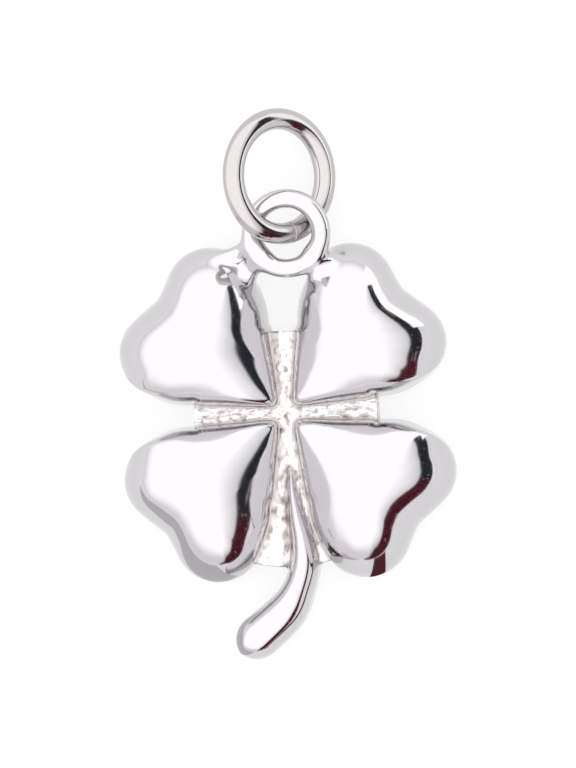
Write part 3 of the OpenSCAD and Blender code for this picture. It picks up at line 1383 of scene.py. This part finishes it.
def stand_card(name: str, grid: Array, material: Material, marks: Marks | None = None) -> None:
    """Sets up a card that shows only in the metal's reflections.

    Args:
        name: The card's name.
        grid: Its points in millimetres as (row, place along it, xyz).
        material: Its paint.
        marks: Named numbers, one per point, for its paint to read.
    """
    rows, columns, _ = grid.shape
    index = np.arange(rows * columns).reshape(rows, columns)
    faces = np.stack([index[:-1, :-1], index[:-1, 1:], index[1:, 1:], index[1:, :-1]], axis=-1).reshape(-1, 4)
    card = new_object(name, grid.reshape(-1, 3), faces.tolist(), material, marks or {})
    card.visible_camera = card.visible_diffuse = card.visible_shadow = False


@dataclass
class DarkFlag:
    """The dark card round the right side, close to black above and maroon towards the near end."""

    r: float = 160.0
    eye_h: float = 2.0
    around: int = 240
    up: int = 150
    navy: Colour = (0.020, 0.025, 0.034)
    maroon: Colour = (0.085, 0.012, 0.022)
    brown: Colour = (0.30, 0.13, 0.09)
    fleck: Colour = (0.50, 0.42, 0.44)
    # Where navy turns to maroon along Y, as shares of r, and the sizes and noise values of patches and dots
    maroon_from: Span = (-0.12, -0.42)
    patch_size: float = 0.19
    patch_over: Span = (0.68, 0.73)
    dot_size: float = 0.055
    dot_over: Span = (0.76, 0.80)
    # The cover is this much at the start of the fade, falls by the power, and is full before its last part
    haze: float = 0.48
    haze_power: float = 1.4
    full_from: float = 0.88
    # Azimuth from +X, and the elevations where it starts, begins to fade and is gone, in degrees
    rows: tuple[tuple[float, float, float, float], ...] = (
        (-93.0, -0.5, 1.0, 3.0), (-86.0, -0.5, 3.0, 9.0),
        (-76.0, -0.5, 12.0, 26.0), (-62.0, 0.5, 16.0, 34.0),
        (-45.0, 3.0, 24.0, 46.0), (-25.0, 6.5, 22.0, 52.0),
        (0.0, 7.0, 21.5, 56.0), (30.0, 5.0, 22.0, 54.0),
        (45.0, 8.0, 20.0, 42.0), (54.0, 18.0, 19.0, 28.0),
    )

    def build(self) -> None:
        """Sets it up: a cylinder of radius r, its edges drawn through the rows, its top fading out."""
        table = np.array(self.rows)
        azimuth = np.linspace(table[0, 0], table[-1, 0], self.around)
        low, dark, gone = (np.interp(azimuth, table[:, 0], column) for column in table[:, 1:].T)
        elevation = low + np.linspace(0.0, 1.0, self.up)[:, None] * (gone - low)
        left = (gone - elevation) / (gone - dark)
        solid = eased(left, (self.full_from, 1.0))
        cover = self.haze * np.clip(left, 0.0, 1.0) ** self.haze_power + (1.0 - self.haze) * solid
        plane = polar(self.r, np.broadcast_to(azimuth, elevation.shape))
        height = self.eye_h + self.r * np.tan(np.radians(elevation))
        grid = np.concatenate([plane, height[..., None]], axis=-1)
        stand_card("dark_flag", grid, self.paint(), {"cover": cover.reshape(-1)})

    def paint(self) -> Material:
        """Dark paint in blotches, see-through where the cover mark is low."""
        material, paint = new_material("dark_flag", bare=True)
        y = paint.add("SeparateXYZ", {"Vector": paint.place()}).outputs["Y"]
        near, far = (share * self.r * MM for share in self.maroon_from)
        colour = paint.dyed(paint.spread(y, 0.0, 1.0, (near, far), True), self.navy, self.maroon)
        for size, detail, over, tone in (
            (self.patch_size, 1.0, self.patch_over, self.brown),
            (self.dot_size, 0.0, self.dot_over, self.fleck),
        ):
            spot = paint.spread(paint.noise(size * self.r, detail), 0.0, 1.0, over, True)
            colour = paint.dyed(spot, colour, tone)
        shown = {
            "Fac": paint.mark("cover"),
            1: paint.add("BsdfTransparent", {}).outputs["BSDF"],
            2: paint.add("Emission", {"Color": colour}).outputs["Emission"],
        }
        paint.add("OutputMaterial", {"Surface": paint.add("MixShader", shown).outputs["Shader"]})
        return material


@dataclass
class PlainCard:
    """A flat card of one tone, given by its bottom and top edges."""

    name: str
    tone: Colour
    bottom: tuple[Spot, Spot]
    top: tuple[Spot, Spot]

    def build(self) -> None:
        """Sets it up as a single quad between its two edges, giving off its own tone."""
        material, paint = new_material(self.name, bare=True)
        glow = paint.add("Emission", {"Color": self.tone})
        paint.add("OutputMaterial", {"Surface": glow.outputs["Emission"]})
        stand_card(self.name, np.array([self.bottom, self.top]), material)


@dataclass
class Studio:
    """A pale floor under a soft white sky, with cards round the pendant that only show in the metal."""

    floor_half: float = 4000.0
    floor_z: float = -0.01
    floor_colour: Colour = (0.14, 0.14, 0.14)
    floor_rough: float = 0.9
    floor_glow: float = 0.81
    zenith: Colour = (1.66, 1.65, 1.67)
    horizon: Colour = (1.00, 0.98, 1.00)
    rise: Span = (-0.02, 0.24)
    near_tone: Colour = (1.04, 1.00, 1.02)
    near_side: Span = (0.20, 0.80)
    near_rise: Span = (0.15, 0.42)
    flag: DarkFlag = field(default_factory=DarkFlag)
    cards: tuple[PlainCard, ...] = (
        PlainCard(
            "white_card", (1.70, 1.69, 1.72),
            ((16.0, 8.0, 0.0), (28.0, 58.0, 0.0)), ((16.0, 8.0, 4.6), (28.0, 58.0, 12.5)),
        ),
        # Painted shade: a grey card on the floor in front and to the left, standing for the floor's shade
        # beside the pendant, seen only in the metal
        PlainCard(
            "near_floor_shade_card", (0.68, 0.66, 0.70),
            ((-30.0, -4.0, 0.05), (-1.9, -6.35, 0.05)), ((-60.0, -70.0, 0.05), (-12.0, -95.0, 0.05)),
        ),
        PlainCard(
            "maroon_card", (0.10, 0.025, 0.035),
            ((2.75, -6.2, 0.05), (3.45, -6.2, 0.05)), ((19.0, -95.0, 0.05), (55.0, -95.0, 0.05)),
        ),
    )
    camera_away: float = 0.42
    camera_tilt: float = 5.0
    camera_roll: float = 2.4
    camera_aim: Spot = (0.045, 1.065, 0.0)
    view_h: float = 28.24
    film: float = 36.0

    def floor(self) -> None:
        """Lays the floor just under the pendant's flat back, faintly lit from within as a light table is."""
        h = self.floor_half
        corners = np.array([(x, y, self.floor_z) for x, y in ((-h, -h), (h, -h), (h, h), (-h, h))])
        material, paint = new_material("floor")
        paint.principled({
            "Base Color": self.floor_colour, "Roughness": self.floor_rough,
            "Emission Color": (1.0, 1.0, 1.0), "Emission Strength": self.floor_glow,
        })
        floor = new_object("floor", corners, [[0, 1, 2, 3]], material, {})

    def sky(self) -> None:
        """Makes the white sky: brightest overhead, softer towards the horizon, dimmer low in front."""
        world = bpy.data.worlds.new("sky")
        bpy.context.scene.world = world
        world.use_nodes = True
        paint = Paint(world.node_tree)
        split = paint.add("SeparateXYZ", {"Vector": paint.place("Generated")})
        y, z = split.outputs["Y"], split.outputs["Z"]
        white = paint.dyed(paint.spread(z, 0.0, 1.0, self.rise, True), self.horizon, self.zenith)
        near = paint.spread(y, 0.0, 1.0, tuple(-side for side in self.near_side), True)
        low = paint.spread(z, 1.0, 0.0, self.near_rise, True)
        both = paint.add("Math", {0: near, 1: low}, operation="MULTIPLY").outputs["Value"]
        colour = paint.dyed(both, white, self.near_tone)
        paint.put(world.node_tree.nodes["Background"].inputs["Color"], colour)

    def camera(self) -> None:
        """Sets up the camera over the pendant, tilted to its right and turned a little."""
        tilt, roll = (math.radians(degrees) for degrees in (self.camera_tilt, -self.camera_roll))
        turn = Matrix.Rotation(tilt, 4, "Y") @ Matrix.Rotation(roll, 4, "Z")
        data = bpy.data.cameras.new("camera")
        data.sensor_fit = "VERTICAL"
        data.sensor_height = self.film
        data.lens = self.film * self.camera_away / (self.view_h * MM)
        data.clip_start = 0.01
        camera = bpy.data.objects.new("camera", data)
        aim = Matrix.Translation(Vector(self.camera_aim) * MM)
        camera.matrix_world = aim @ turn @ Matrix.Translation((0.0, 0.0, self.camera_away))
        bpy.context.collection.objects.link(camera)
        bpy.context.scene.camera = camera

    def build(self) -> None:
        """Sets up camera, floor, cards and sky, with colours shown as they are."""
        self.camera()
        self.floor()
        self.flag.build()
        for card in self.cards:
            card.build()
        self.sky()
        bpy.context.scene.view_settings.view_transform = "Standard"


def main() -> None:
    logging.basicConfig(level=logging.INFO, format="%(name)s: %(message)s")
    Studio().build()
    CloverCasting().build()
    JumpRing().build()


if __name__ == "__main__":
    main()
